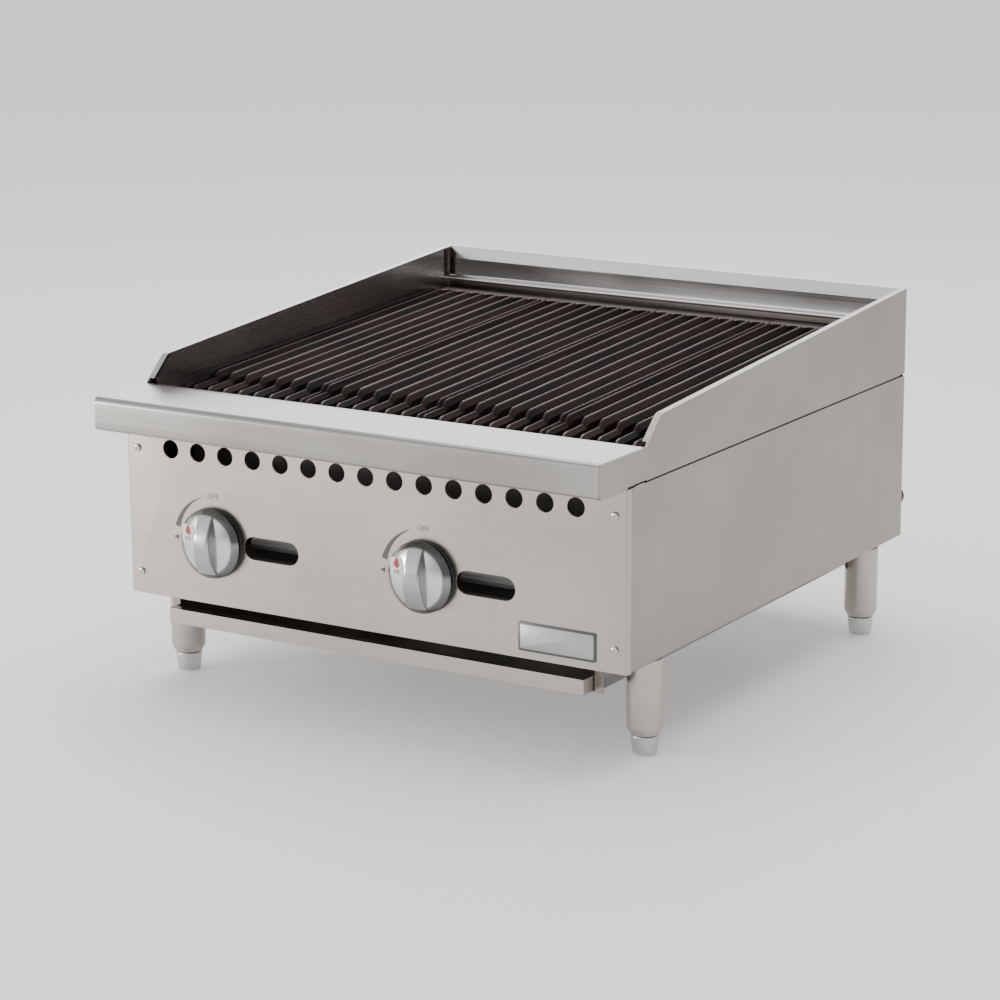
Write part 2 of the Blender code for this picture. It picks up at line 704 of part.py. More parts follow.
def gas_train():
    """Manifold with its run to the rear nipple, valves, stems, orifices and pilots."""
    bend = 0.020
    left_end = -0.2300
    path = [(left_end, MANIFOLD_Y, MANIFOLD_Z)]
    corner = arc((SUPPLY_X - bend, MANIFOLD_Y + bend), bend, -90, 0, 8)
    path += [(x, y, MANIFOLD_Z) for x, y in corner]
    path.append((SUPPLY_X, INLET_END, MANIFOLD_Z))
    pipe = material("steel_pipe", (0.12, 0.12, 0.12), 0.45, 0.8)
    tube("gas_manifold", path, MANIFOLD_RADIUS, pipe)
    for x, word in zip(KNOB_X, ("left", "right")):
        body_front = PANEL_Y + SHEET + 0.0012
        body_rear = PANEL_Y + 0.031
        valve = finish(f"valve_{word}", box_mesh(x - 0.012, x + 0.012, body_front, body_rear,
                                                AXIS_Z - 0.011, AXIS_Z + 0.011), brass())
        low = MANIFOLD_Z + MANIFOLD_RADIUS + 0.0005
        neck = [(0, low), (0.0065, low), (0.0065, AXIS_Z - 0.005), (0, AXIS_Z - 0.005)]
        combine(valve, lathe_mesh(neck, "Z", (x, MANIFOLD_Y, 0), SMALL_ROUND), "UNION")
        tidy(valve)
        spud = [(0, 0), (0.0065, 0), (0.0065, 0.007), (0.0035, 0.012), (0, 0.012)]
        spud_mesh = lathe_mesh([(r, -h) for r, h in reversed(spud)], "-Y",
                               (x, body_rear + GAP, AXIS_Z), 6)
        finish(f"orifice_{word}", spud_mesh, brass())
        rod = [(0, 0), (0.004, 0), (0.004, 0.0175), (0, 0.0175)]
        stem = finish(f"valve_stem_{word}",
                      lathe_mesh(rod, "-Y", (0, 0, 0), SMALL_ROUND), steel())
        stem.location = (x, body_front - GAP, AXIS_Z)
        tidy(stem)
    pilot_z = PILOT_Z
    pilot_y = PANEL_Y + 0.042
    bright = material("aluminium_tube", (0.42, 0.42, 0.41), 0.4, 1.0)
    for x, word in ((-BURNER_X, "left"), (BURNER_X, "right")):
        slot_x = x + SLOT_SHIFT
        tip_y = PANEL_Y + 0.118
        route = [(slot_x - 0.0525, pilot_y, pilot_z), (slot_x + 0.030, pilot_y, pilot_z)]
        tube(f"pilot_tube_{word}", route, PILOT_RADIUS, bright, 2)
        rise = [(slot_x, pilot_y + PILOT_RADIUS + GAP, pilot_z),
                (slot_x, tip_y - 0.004, pilot_z),
                (slot_x, tip_y, pilot_z + 0.004),
                (slot_x, tip_y, pilot_z + 0.018)]
        tube(f"pilot_burner_{word}", rise, 0.003, bright, 2)


# ---------------------------------------------------------------- knobs and panel fittings
def knobs():
    """Round skirt, half-moon grip bar and a blind bore; a thin dark ring sits on the panel."""
    skirt_back = 0.0060
    face = 0.0130
    tip = 0.0250
    half_bar = 0.0105
    reach = 0.0315
    chrome = material("chrome", (0.60, 0.60, 0.60), 0.16, 1.0)
    dark = material("bezel_black", (0.02, 0.02, 0.02), 0.5, 0.0)
    for x, word in zip(KNOB_X, ("left", "right")):
        centre = (x, PANEL_Y, AXIS_Z)
        profile = [
            (0, skirt_back), (0.0360, skirt_back), (0.0375, skirt_back + 0.0010),
            (0.0372, skirt_back + 0.0025), (0.0335, face - 0.0008), (0.0325, face), (0, face),
        ]
        knob = finish(f"knob_{word}", lathe_mesh(profile, "-Y", (0, 0, 0), 48), chrome)
        rise = tip - face
        radius = (reach ** 2 + rise ** 2) / (2 * rise)
        spread = math.degrees(math.asin(reach / radius))
        bow = arc((-(tip - radius), 0), radius, 180 - spread, 180 + spread, 14)
        bar = [(-face + 0.002, reach)] + bow + [(-face + 0.002, -reach)]
        combine(knob, prism_mesh(bar, "X", -half_bar, half_bar), "UNION")
        bore = [(0, 0), (0.0043, 0), (0.0043, 0.0175), (0, 0.0175)]
        combine(knob, lathe_mesh(bore, "-Y", (0, 0, 0), SMALL_ROUND), "DIFFERENCE")
        tidy(knob, 30)
        knob.location = centre
        ring = [(0.020, GAP), (0.0378, GAP), (0.0378, 0.0018), (0.0355, 0.0028), (0.020, 0.0028)]
        finish(f"knob_bezel_{word}", lathe_mesh(ring, "-Y", centre, 48), dark)


def panel_fittings():
    """Plain plate in the lower right corner, and four panel screws."""
    plate = material("plate", (0.55, 0.55, 0.53), 0.3, 1.0)
    corners = filleted(
        [(0.2255, FLOOR_Z + 0.008), (0.270, FLOOR_Z + 0.008), (0.270, FLOOR_Z + 0.038),
         (0.181, FLOOR_Z + 0.038), (0.181, FLOOR_Z + 0.008), (0.2255, FLOOR_Z + 0.008)],
        (0.0015,) * 4, 3,
    )[:-1]
    bm = prism_mesh(corners, "Y", PANEL_Y - GAP, PANEL_Y - GAP - 0.0010)
    finish("badge_plate", bm, plate)
    head = [(0, 0), (0.0042, 0), (0.0038, 0.0014), (0.0022, 0.0022), (0, 0.0024)]
    places = [(x, z) for z in (0.159, 0.024) for x in (-0.291, 0.291)]
    for number, (x, z) in enumerate(places, 1):
        centre = (x, PANEL_Y - GAP, FLOOR_Z + z)
        screw = finish(f"panel_screw_{number}", lathe_mesh(head, "-Y", centre, SMALL_ROUND), steel())
        tidy(screw)


# ---------------------------------------------------------------- tray and legs
def drip_tray():
    """Shallow pan with a folded front face, open at the top."""
    rear = PANEL_Y + TRAY_DEPTH
    bm = box_mesh(-TRAY_HALF, TRAY_HALF, PANEL_Y, rear, TRAY_BOTTOM, TRAY_TOP)
    tray = finish("drip_tray", bm, steel())
    inner = TRAY_HALF - TRAY_SHEET
    combine(tray, box_mesh(-inner, inner, PANEL_Y + TRAY_SHEET, rear - TRAY_SHEET,
                           TRAY_BOTTOM + TRAY_SHEET, TRAY_TOP + 0.01), "DIFFERENCE")
    lip = [
        (-TRAY_HALF + 0.001, TRAY_TOP - TRAY_SHEET), (TRAY_HALF - 0.001, TRAY_TOP - TRAY_SHEET),
        (TRAY_HALF - 0.001, TRAY_TOP), (-TRAY_HALF + 0.001, TRAY_TOP),
    ]
    combine(tray, prism_mesh(lip, "Y", PANEL_Y + TRAY_SHEET / 2, PANEL_Y + 0.010), "UNION")
    return tidy(tray)


def tray_rails():
    """Z-section rails under the cabinet floor, each closed by a small front tab."""
    top = FLOOR_Z - GAP
    low = TRAY_BOTTOM - GAP - SHEET
    for side, name in ((-1, "tray_rail_left"), (1, "tray_rail_right")):
        inner = side * RAIL_INNER
        outer = side * (RAIL_INNER + RAIL_WIDTH)
        lip = side * (RAIL_INNER - 0.012)
        web = side * (RAIL_INNER + SHEET)
        outline = [
            (lip, low), (web, low), (web, top - SHEET), (outer, top - SHEET), (outer, top),
            (inner, top), (inner, low + SHEET), (lip, low + SHEET),
        ]
        end = RAIL_FRONT + RAIL_LENGTH
        rail = finish(name, prism_mesh(outline, "Y", RAIL_FRONT, end), steel())
        combine(rail, box_mesh(min(inner, outer), max(inner, outer), RAIL_FRONT,
                               RAIL_FRONT + SHEET, low, top), "UNION")
        tidy(rail)


def legs():
    """Round legs with a tapered end, and the threaded foot inside each."""
    top = FLOOR_Z - GAP
    throat = 0.0280
    bore = STUD_RADIUS + 0.0004
    seat = FOOT_TOP + GAP
    leg_profile = [
        (bore, seat), (0.0148, seat), (0.0152, seat + 0.001), (LEG_RADIUS, throat),
        (LEG_RADIUS, top - 0.001), (LEG_RADIUS - 0.001, top), (0, top), (0, 0.075), (bore, 0.075),
    ]
    foot_profile = [
        (0, 0), (FOOT_RADIUS - 0.001, 0), (FOOT_RADIUS, 0.001), (0.0146, FOOT_TOP - 0.001),
        (0.0140, FOOT_TOP), (STUD_RADIUS, FOOT_TOP), (STUD_RADIUS, 0.070), (0, 0.070),
    ]
    for y, depth in zip(LEG_Y, ("front", "rear")):
        for side, word in ((-1, "left"), (1, "right")):
            place = (side * LEG_X, y, 0)
            leg = finish(f"leg_{depth}_{word}", lathe_mesh(leg_profile, "Z", place, ROUND), steel())
            tidy(leg)
            foot = finish(f"foot_{depth}_{word}", lathe_mesh(foot_profile, "Z", (0, 0, 0), ROUND), steel())
            foot.location = place
            tidy(foot)


# ---------------------------------------------------------------- the object
clear_scene()
control_panel()
side_panel(-1, "side_panel_left")
side_panel(1, "side_panel_right")
back_panel()
front_ledge()
side_splash(-1, "splash_left")
side_splash(1, "splash_right")
splash_back()
firebox()
grate_supports()
grates()
burners()
radiants()
gas_train()
knobs()
panel_fittings()
drip_tray()
tray_rails()
legs()
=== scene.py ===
# %% [markdown]
# # A two-burner gas charbroiler
#
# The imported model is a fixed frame: it says where every part is and how it moves.  This script keeps that
# frame and gives each part its finished surface.  Some parts are worked out again as smooth surfaces, and
# the folded sheets keep their shape and get their edges eased.

import json

import bmesh
import bpy
import numpy as np
from mathutils import Matrix, Vector


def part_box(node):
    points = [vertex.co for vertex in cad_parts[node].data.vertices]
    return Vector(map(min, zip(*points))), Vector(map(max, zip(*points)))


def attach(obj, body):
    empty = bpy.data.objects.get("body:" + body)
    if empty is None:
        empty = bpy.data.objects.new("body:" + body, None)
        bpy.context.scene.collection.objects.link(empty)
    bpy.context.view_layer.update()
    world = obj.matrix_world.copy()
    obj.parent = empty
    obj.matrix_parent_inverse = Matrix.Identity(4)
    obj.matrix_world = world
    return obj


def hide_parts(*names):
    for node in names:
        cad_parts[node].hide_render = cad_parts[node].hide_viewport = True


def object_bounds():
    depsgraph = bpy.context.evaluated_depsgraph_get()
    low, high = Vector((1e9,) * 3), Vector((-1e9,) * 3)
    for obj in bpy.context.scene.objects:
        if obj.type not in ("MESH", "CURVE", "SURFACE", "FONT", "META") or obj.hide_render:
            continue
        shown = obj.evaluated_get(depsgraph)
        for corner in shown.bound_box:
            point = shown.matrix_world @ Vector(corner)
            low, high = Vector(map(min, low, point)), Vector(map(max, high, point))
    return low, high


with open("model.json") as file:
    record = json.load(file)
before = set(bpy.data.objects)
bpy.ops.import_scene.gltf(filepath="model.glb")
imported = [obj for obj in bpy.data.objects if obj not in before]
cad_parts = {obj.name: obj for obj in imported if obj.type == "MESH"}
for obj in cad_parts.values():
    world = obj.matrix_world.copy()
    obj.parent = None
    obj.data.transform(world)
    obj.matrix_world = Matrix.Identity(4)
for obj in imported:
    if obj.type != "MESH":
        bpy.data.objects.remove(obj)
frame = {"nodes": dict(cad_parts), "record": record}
cad_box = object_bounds()
LOW, HIGH = (np.array(corner) for corner in cad_box)
print("overall size in millimetres", np.round((HIGH - LOW) * 1000, 1))

# %% [markdown]
# ## Where things are
#
# Positions are read from the frame's boxes, so that nothing has to be fitted by eye: the control panel gives
# the front plane, and each knob's box gives its axis.

# %% Places read from the frame
def span(node):
    """Lowest and highest corner of a part, as arrays."""
    low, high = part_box(node)
    return np.array(low), np.array(high)


def middle(node):
    """Centre of a part's box."""
    low, high = span(node)
    return (low + high) / 2


PANEL_Y = span("control_panel")[0][1]
DECK_Z = span("front_ledge")[1][2]
SIDES = ("left", "right")
KNOB_CENTRE = {side: middle(f"knob_{side}") for side in SIDES}
print("panel plane at y =", round(PANEL_Y, 4), "ledge top at z =", round(DECK_Z, 4))

# %% [markdown]
# ## Camera, floor and light
#
# The camera stands to the cook's right, a little above the ledge, with a long lens, so that upright edges
# stay almost parallel.  The floor is a pale, faintly glowing sweep.  The sky is brighter on the left than on
# the right, so that the sheets facing the two ways get different tones.  It has a soft glow low at the rear
# left, which is what the ledge's top mirrors, and a weaker one at the front left for the back splash's band.
# One soft lamp hangs overhead and one stands low at the front left, so that the knobs throw a shadow.

# %% Camera
CAMERA_PLACE = (1.735, -2.8189, 0.9983)
CAMERA_TURN = (1.3273, 0.0066, 0.5567)
LENS = 112.12

camera_data = bpy.data.cameras.new("camera")
camera_data.lens = LENS
camera_data.sensor_width = 36.0
camera = bpy.data.objects.new("camera", camera_data)
camera.location = CAMERA_PLACE
camera.rotation_euler = CAMERA_TURN
bpy.context.scene.collection.objects.link(camera)
bpy.context.scene.camera = camera

# %% Floor and sky
FLOOR_HALF = 14.0
floor_mesh = bpy.data.meshes.new("floor")
corners = [(-1, -1, 0), (1, -1, 0), (1, 1, 0), (-1, 1, 0)]
floor_mesh.from_pydata([tuple(FLOOR_HALF * c for c in p) for p in corners], [], [(0, 1, 2, 3)])
floor = bpy.data.objects.new("floor", floor_mesh)
bpy.context.scene.collection.objects.link(floor)
floor_paint = bpy.data.materials.new("pale_floor")
floor_paint.use_nodes = True
floor_shader = floor_paint.node_tree.nodes["Principled BSDF"]
floor_shader.inputs["Base Color"].default_value = (0.93, 0.93, 0.93, 1.0)
floor_shader.inputs["Roughness"].default_value = 0.9
floor_shader.inputs["Emission Color"].default_value = (1.0, 1.0, 1.0, 1.0)
floor_shader.inputs["Emission Strength"].default_value = 0.20
floor_mesh.materials.append(floor_paint)

world = bpy.data.worlds.new("studio")
bpy.context.scene.world = world
world.use_nodes = True
sky = world.node_tree.nodes["Background"]
sky.inputs["Color"].default_value = (0.97, 0.98, 1.0, 1.0)
SKY_RIGHT, SKY_LEFT = 0.36, 1.10
SKY_FADE = 0.8
GLOW_EDGE = 0.80
GLOWS = (((-0.52, 0.84, 0.16), 2.6), ((-0.55, -0.78, 0.30), 0.7))


def world_node(kind, **inputs):
    """A node in the sky's tree with some of its inputs set."""
    node = world.node_tree.nodes.new(kind)
    for socket, value in inputs.items():
        node.inputs[socket.replace("_", " ")].default_value = value
    return node


link = world.node_tree.links.new
direction = world_node("ShaderNodeTexCoord").outputs["Generated"]
parts = world_node("ShaderNodeSeparateXYZ")
fade = world_node("ShaderNodeMapRange", From_Min=-SKY_FADE, From_Max=SKY_FADE,
                  To_Min=SKY_LEFT, To_Max=SKY_RIGHT)
link(direction, parts.inputs["Vector"])
link(parts.outputs["X"], fade.inputs["Value"])
strength = fade.outputs["Result"]
for towards, amount in GLOWS:
    facing = world_node("ShaderNodeVectorMath")
    facing.operation = "DOT_PRODUCT"
    facing.inputs[1].default_value = towards
    glow = world_node("ShaderNodeMapRange", From_Min=GLOW_EDGE, From_Max=1.0, To_Max=amount)
    glow.interpolation_type = "SMOOTHSTEP"
    total = world_node("ShaderNodeMath")
    link(direction, facing.inputs[0])
    link(facing.outputs["Value"], glow.inputs["Value"])
    link(strength, total.inputs[0])
    link(glow.outputs["Result"], total.inputs[1])
    strength = total.outputs["Value"]
link(strength, sky.inputs["Strength"])


# %% Lamps
def soft_lamp(name, place, aim, width, height, watts, colour=(1.0, 1.0, 1.0)):
    """A rectangular lamp that points from one place to another."""
    data = bpy.data.lights.new(name, "AREA")
    data.shape = "RECTANGLE"
    data.size = width
    data.size_y = height
    data.energy = watts
    data.color = colour
    lamp = bpy.data.objects.new(name, data)
    lamp.location = place
    direction = Vector(aim) - Vector(place)
    lamp.rotation_euler = direction.to_track_quat("-Z", "Y").to_euler()
    lamp.visible_camera = False
    bpy.context.scene.collection.objects.link(lamp)
    return lamp


soft_lamp("overhead", (0.0, 0.6, 3.2), (0.0, 0.1, 0.2), 3.6, 3.0, 85.0)
soft_lamp("front_left", (-2.5, -2.4, 0.35), (0.0, -0.2, 0.2), 0.6, 0.5, 46.0, (1.0, 0.98, 0.95))

# %% [markdown]
# ## Finishes
#
# Most of the grill is satin stainless sheet.  Its grain is a noise squeezed hard across the rolling
# direction and drawn out along it.  The grain moves the roughness a little and tilts the surface a very
# little, which is what makes a satin sheet smear a reflection instead of mirroring it.  A second, broad
# noise gives the faint handling marks that a big plain sheet always has.  The tone differs from sheet to
# sheet as painted light and shade: the right-hand side sheets, the tray rails and the ledge are darker
# copies of the same steel, painted shade, and the left-hand sheets a paler copy, painted light.  The back
# splash is the smoothest, so that it mirrors the dark grates.


# %% A plain finish and the nodes round it
def finish_base(name, colour, roughness, metallic):
    """A new material with plain values, and handles to its tree and its shader."""
    result = bpy.data.materials.new(name)
    result.use_nodes = True
    tree = result.node_tree
    shader = tree.nodes["Principled BSDF"]
    shader.inputs["Base Color"].default_value = (*colour, 1.0)
    shader.inputs["Roughness"].default_value = roughness
    shader.inputs["Metallic"].default_value = metallic
    return result, tree, shader


def stretched_noise(tree, stretch, detail=2.0):
    """A noise read from the object's own place in metres, multiplied along each axis."""
    place = tree.nodes.new("ShaderNodeTexCoord")
    mapping = tree.nodes.new("ShaderNodeMapping")
    noise = tree.nodes.new("ShaderNodeTexNoise")
    mapping.inputs["Scale"].default_value = stretch
    noise.inputs["Scale"].default_value = 1.0
    noise.inputs["Detail"].default_value = detail
    tree.links.new(place.outputs["Object"], mapping.inputs["Vector"])
    tree.links.new(mapping.outputs["Vector"], noise.inputs["Vector"])
    return noise.outputs["Fac"]


def spread(tree, value, low, high, start=0.3, end=0.7):
    """Map a noise's middle range to low ... high."""
    node = tree.nodes.new("ShaderNodeMapRange")
    node.inputs["From Min"].default_value = start
    node.inputs["From Max"].default_value = end
    node.inputs["To Min"].default_value = low
    node.inputs["To Max"].default_value = high
    tree.links.new(value, node.inputs["Value"])
    return node.outputs["Result"]


def two_tone(tree, shader, value, dark, light):
    """Base colour between two colours by a value from 0 to 1."""
    ramp = tree.nodes.new("ShaderNodeValToRGB")
    ramp.color_ramp.elements[0].color = (*dark, 1.0)
    ramp.color_ramp.elements[1].color = (*light, 1.0)
    tree.links.new(value, ramp.inputs["Fac"])
    tree.links.new(ramp.outputs["Color"], shader.inputs["Base Color"])


def relief(tree, shader, value, strength, depth):
    """Tilt the surface by a value taken as a height in metres."""
    bump = tree.nodes.new("ShaderNodeBump")
    bump.inputs["Strength"].default_value = strength
    bump.inputs["Distance"].default_value = depth
    tree.links.new(value, bump.inputs["Height"])
    tree.links.new(bump.outputs["Normal"], shader.inputs["Normal"])


# %% Satin stainless
GRAIN_ALONG = 2.0
GRAIN_ACROSS = 700.0
MARKS = (5.0, 5.0, 7.0)
GRAIN_DEPTH = 0.00004


def satin_steel(name, along, tone=0.60, roughness=0.30, warmth=0.012):
    """Rolled sheet whose grain runs along one axis (0, 1 or 2)."""
    dark = (tone - 0.03 + warmth, tone - 0.03, tone - 0.03 - warmth)
    light = (tone + 0.03 + warmth, tone + 0.03, tone + 0.03 - warmth)
    result, tree, shader = finish_base(name, light, roughness, 1.0)
    stretch = [GRAIN_ACROSS] * 3
    stretch[along] = GRAIN_ALONG
    grain = stretched_noise(tree, stretch)
    marks = stretched_noise(tree, MARKS, 3.0)
    two_tone(tree, shader, spread(tree, marks, 0.0, 1.0), dark, light)
    total = tree.nodes.new("ShaderNodeMath")
    total.operation = "ADD"
    tree.links.new(spread(tree, grain, -0.035, 0.035), total.inputs[0])
    tree.links.new(spread(tree, marks, roughness - 0.03, roughness + 0.03), total.inputs[1])
    tree.links.new(total.outputs["Value"], shader.inputs["Roughness"])
    relief(tree, shader, grain, 0.12, GRAIN_DEPTH)
    return result


steel_across = satin_steel("satin_steel_across", 0, 0.39, 0.30, 0.045)
# Painted shade: a darker copy of the same steel for the right-hand side sheets and the tray rails.
steel_lengthways_painted_shade = satin_steel("satin_steel_lengthways_painted_shade", 1, 0.26, 0.22, 0.022)
# Painted light: a paler copy of the same steel for the left-hand side sheets.
steel_left_painted_light = satin_steel("satin_steel_left_painted_light", 1, 0.44, 0.26, 0.010)
steel_upright = satin_steel("satin_steel_upright", 2, 0.43, 0.26, 0.035)
# Painted shade: a darker copy of the same steel for the ledge, so that its front reads darker than the panel.
steel_deck_painted_shade = satin_steel("satin_steel_deck_painted_shade", 0, 0.31, 0.26, 0.018)
steel_mirror = satin_steel("satin_steel_splash", 0, 0.50, 0.18, 0.016)
steel_dull = satin_steel("dull_liner_steel", 1, 0.16, 0.5)
print("finishes so far:", [m.name for m in bpy.data.materials if "steel" in m.name])

# %% [markdown]
# Cast iron is dark, pitted and slightly rusty.  The ridges, worn clean by the scraper, are paler and
# smoother; their paler colour is partly that wear and partly a painted highlight, and the nose tips and the
# top of the rear rail are paler as a painted highlight.  The grates carry a number on every point that says
# how close it is to a ridge, and the finish reads it.

# %% Cast iron
RIDGE_ATTRIBUTE = "scraped_and_highlit"
# The pale colour of bare iron is partly worn metal and partly a painted highlight.
BLACK_IRON, RUSTY_IRON, BARE_IRON_AND_HIGHLIGHT = (0.014, 0.0115, 0.0105), (0.038, 0.019, 0.017), (0.235, 0.190, 0.172)


def cast_iron(name, scraped_and_highlit):
    """Seasoned iron; where the attribute is high it is paler, smoother and bare metal: partly wear, partly a
    painted highlight.
    """
    result, tree, shader = finish_base(name, RUSTY_IRON, 0.6, 0.0)
    shader.inputs["Specular IOR Level"].default_value = 0.22
    stains = stretched_noise(tree, (28.0, 9.0, 28.0), 4.0)
    pits = stretched_noise(tree, (620.0, 620.0, 620.0), 3.0)
    ramp = tree.nodes.new("ShaderNodeValToRGB")
    ramp.color_ramp.elements[0].color = (*BLACK_IRON, 1.0)
    ramp.color_ramp.elements[0].position = 0.42
    ramp.color_ramp.elements[1].color = (*RUSTY_IRON, 1.0)
    ramp.color_ramp.elements[1].position = 0.62
    tree.links.new(stains, ramp.inputs["Fac"])
    colour = ramp.outputs["Color"]
    # The pale blend is partly worn metal and partly a painted highlight.
    if scraped_and_highlit:
        wear_and_highlight = tree.nodes.new("ShaderNodeAttribute")
        wear_and_highlight.attribute_name = RIDGE_ATTRIBUTE
        blend = tree.nodes.new("ShaderNodeMix")
        blend.data_type = "RGBA"
        blend.inputs["B"].default_value = (*BARE_IRON_AND_HIGHLIGHT, 1.0)
        tree.links.new(wear_and_highlight.outputs["Fac"], blend.inputs["Factor"])
        tree.links.new(colour, blend.inputs["A"])
        tree.links.new(spread(tree, wear_and_highlight.outputs["Fac"], 0.0, 0.8, 0.0, 1.0), shader.inputs["Metallic"])
        colour = blend.outputs["Result"]
    tree.links.new(colour, shader.inputs["Base Color"])
    tree.links.new(spread(tree, pits, 0.46, 0.62), shader.inputs["Roughness"])
    relief(tree, shader, pits, 0.5, 0.0002)
    return result


iron = cast_iron("cast_iron", False)
# Paler ridges, nose tips and rear rail: partly worn metal, partly a painted highlight.
iron_scraped_and_highlit = cast_iron("cast_iron_scraped_and_highlit", True)
print("cast iron reads the attribute", RIDGE_ATTRIBUTE)

# %% [markdown]
# The small finishes: plated die casting for the knobs in three tones, where the dark skirt and the grey grip
# are darker copies of the bright plating as painted shade and painted dark reflection, plated steel for
# screws and feet, black for the bezels as a painted shadow of the gap behind each knob, plain brass, and
# printing inks.  Each has at least a fine noise in its roughness, because no real surface has one roughness
# all over.


# %% Small finishes
def fine_finish(name, colour, roughness, metallic, texture, swing, depth=0.0):
    """A finish whose roughness swings a little with a fine, even noise."""
    result, tree, shader = finish_base(name, colour, roughness, metallic)
    noise = stretched_noise(tree, (texture, texture, texture))
    tree.links.new(spread(tree, noise, roughness - swing, roughness + swing),
                   shader.inputs["Roughness"])
    if depth:
        relief(tree, shader, noise, 0.4, depth)
    return result


plating = fine_finish("bright_plating", (0.62, 0.62, 0.61), 0.20, 1.0, 90.0, 0.04)
# Painted shade and dark reflection: a darker copy of the bright plating for the knobs' skirts.
skirt_plating_painted_shade = fine_finish("skirt_plating_painted_shade_finish", (0.24, 0.24, 0.235), 0.18, 1.0, 90.0, 0.04)
# Painted shade: a greyer copy of the bright plating for the knobs' grips.
grip_plating_painted_shade = fine_finish("grip_plating_painted_shade_finish", (0.40, 0.40, 0.395), 0.22, 1.0, 90.0, 0.04)
plated_steel = fine_finish("plated_steel", (0.58, 0.57, 0.56), 0.24, 1.0, 300.0, 0.06)
# Painted shadow: the bezels are black to stand for the shadowed gap behind each knob.
bezel_black_painted_shadow = fine_finish("bezel_black_painted_shadow", (0.018, 0.018, 0.018), 0.45, 0.0, 900.0, 0.08, 0.0001)
brass = fine_finish("machined_brass", (0.55, 0.40, 0.17), 0.32, 1.0, 400.0, 0.08)
pipe_black = fine_finish("black_pipe", (0.055, 0.053, 0.05), 0.42, 0.4, 260.0, 0.1, 0.0002)
tube_grey = fine_finish("aluminium_tube", (0.42, 0.42, 0.41), 0.38, 1.0, 300.0, 0.06)
# Painted shade: the pilot tubes are a dark, dull grey for the shade inside the panel's slots.
tube_painted_shade = fine_finish("pilot_tube_painted_shade", (0.27, 0.27, 0.26), 0.45, 0.0, 300.0, 0.06)
ink = fine_finish("black_ink", (0.012, 0.012, 0.012), 0.5, 0.0, 500.0, 0.06)
ink_brown = fine_finish("brown_ink", (0.10, 0.080, 0.070), 0.45, 0.0, 500.0, 0.06)
ink_faint = fine_finish("faint_ink", (0.17, 0.165, 0.16), 0.45, 0.0, 500.0, 0.06)
label_white = fine_finish("label_white", (0.80, 0.78, 0.75), 0.45, 0.0, 500.0, 0.05)
label_red = fine_finish("label_red", (0.40, 0.06, 0.08), 0.45, 0.0, 500.0, 0.05)
plate_satin = fine_finish("plate_satin", (0.42, 0.42, 0.41), 0.25, 1.0, 700.0, 0.05)
plate_border = fine_finish("plate_border", (0.10, 0.10, 0.10), 0.35, 0.6, 700.0, 0.05)
print(len(bpy.data.materials), "finishes in all")

# %% [markdown]
# ## Making a piece
#
# Every new piece is one or more closed skins.  A skin is a grid of points with faces between neighbours.
# The helper below joins the skins into one mesh, turns every face outwards, gives it its finish, parents
# the piece to an empty for the body it rides on, and hides the parts of the frame it stands for.


# %% Grids into meshes
def grid_faces(rows, columns, start=0):
    """Four-cornered faces between the rows of a grid whose columns run all the way round."""
    row = np.arange(rows - 1)[:, None] * columns
    here = np.arange(columns)[None, :]
    after = (here + 1) % columns
    faces = np.stack([row + here, row + after, row + columns + after, row + columns + here], -1)
    return (faces.reshape(-1, 4) + start).tolist()


def skin(rings):
    """Points and faces of a closed skin: rings of points, and a flat cap at each end."""
    rings = np.asarray(rings, float)
    rows, columns, _ = rings.shape
    faces = grid_faces(rows, columns)
    faces.append(list(range(columns))[::-1])
    faces.append(list(range((rows - 1) * columns, rows * columns)))
    return rings.reshape(-1, 3), faces


def build_piece(name, skins, material, body, nodes=(), values=None, angle=35):
    """Join skins into a piece, give it its finish, and let it ride on a body of the frame."""
    points = np.concatenate([s[0] for s in skins])
    faces = []
    start = 0
    for skin_points, skin_faces in skins:
        faces += [[index + start for index in face] for face in skin_faces]
        start += len(skin_points)
    mesh = bpy.data.meshes.new(name)
    mesh.from_pydata(points.tolist(), [], faces)
    if values is not None:
        layer = mesh.attributes.new(RIDGE_ATTRIBUTE, "FLOAT", "POINT")
        layer.data.foreach_set("value", np.asarray(values, np.float32))
    bm = bmesh.new()
    bm.from_mesh(mesh)
    bmesh.ops.remove_doubles(bm, verts=bm.verts, dist=1e-7)
    bmesh.ops.recalc_face_normals(bm, faces=bm.faces)
    bm.to_mesh(mesh)
    bm.free()
    mesh.shade_smooth()
    mesh.set_sharp_from_angle(angle=np.radians(angle))
    mesh.materials.append(material)
    piece = bpy.data.objects.new(name, mesh)
    bpy.context.scene.collection.objects.link(piece)
    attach(piece, body)
    if nodes:
        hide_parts(*nodes)
    return piece


# %% Outlines and rounded slabs
def turned_arc(centre, radius, start, end, count):
    """Points (a, b) on an arc: centre plus radius times (cos, sin) of the angle, in degrees."""
    angle = np.radians(np.linspace(start, end, count))
    return np.stack([centre[0] + radius * np.cos(angle), centre[1] + radius * np.sin(angle)], -1)


def inward(outline):
    """Unit inward normals of a closed outline: the tangent between neighbours, turned a quarter."""
    tangent = np.roll(outline, -1, 0) - np.roll(outline, 1, 0)
    tangent /= np.linalg.norm(tangent, axis=1, keepdims=True) + 1e-12
    normal = np.stack([-tangent[:, 1], tangent[:, 0]], -1)
    area = np.sum(outline[:, 0] * np.roll(outline[:, 1], -1) - outline[:, 1] * np.roll(outline[:, 0], -1))
    return normal if area > 0 else -normal


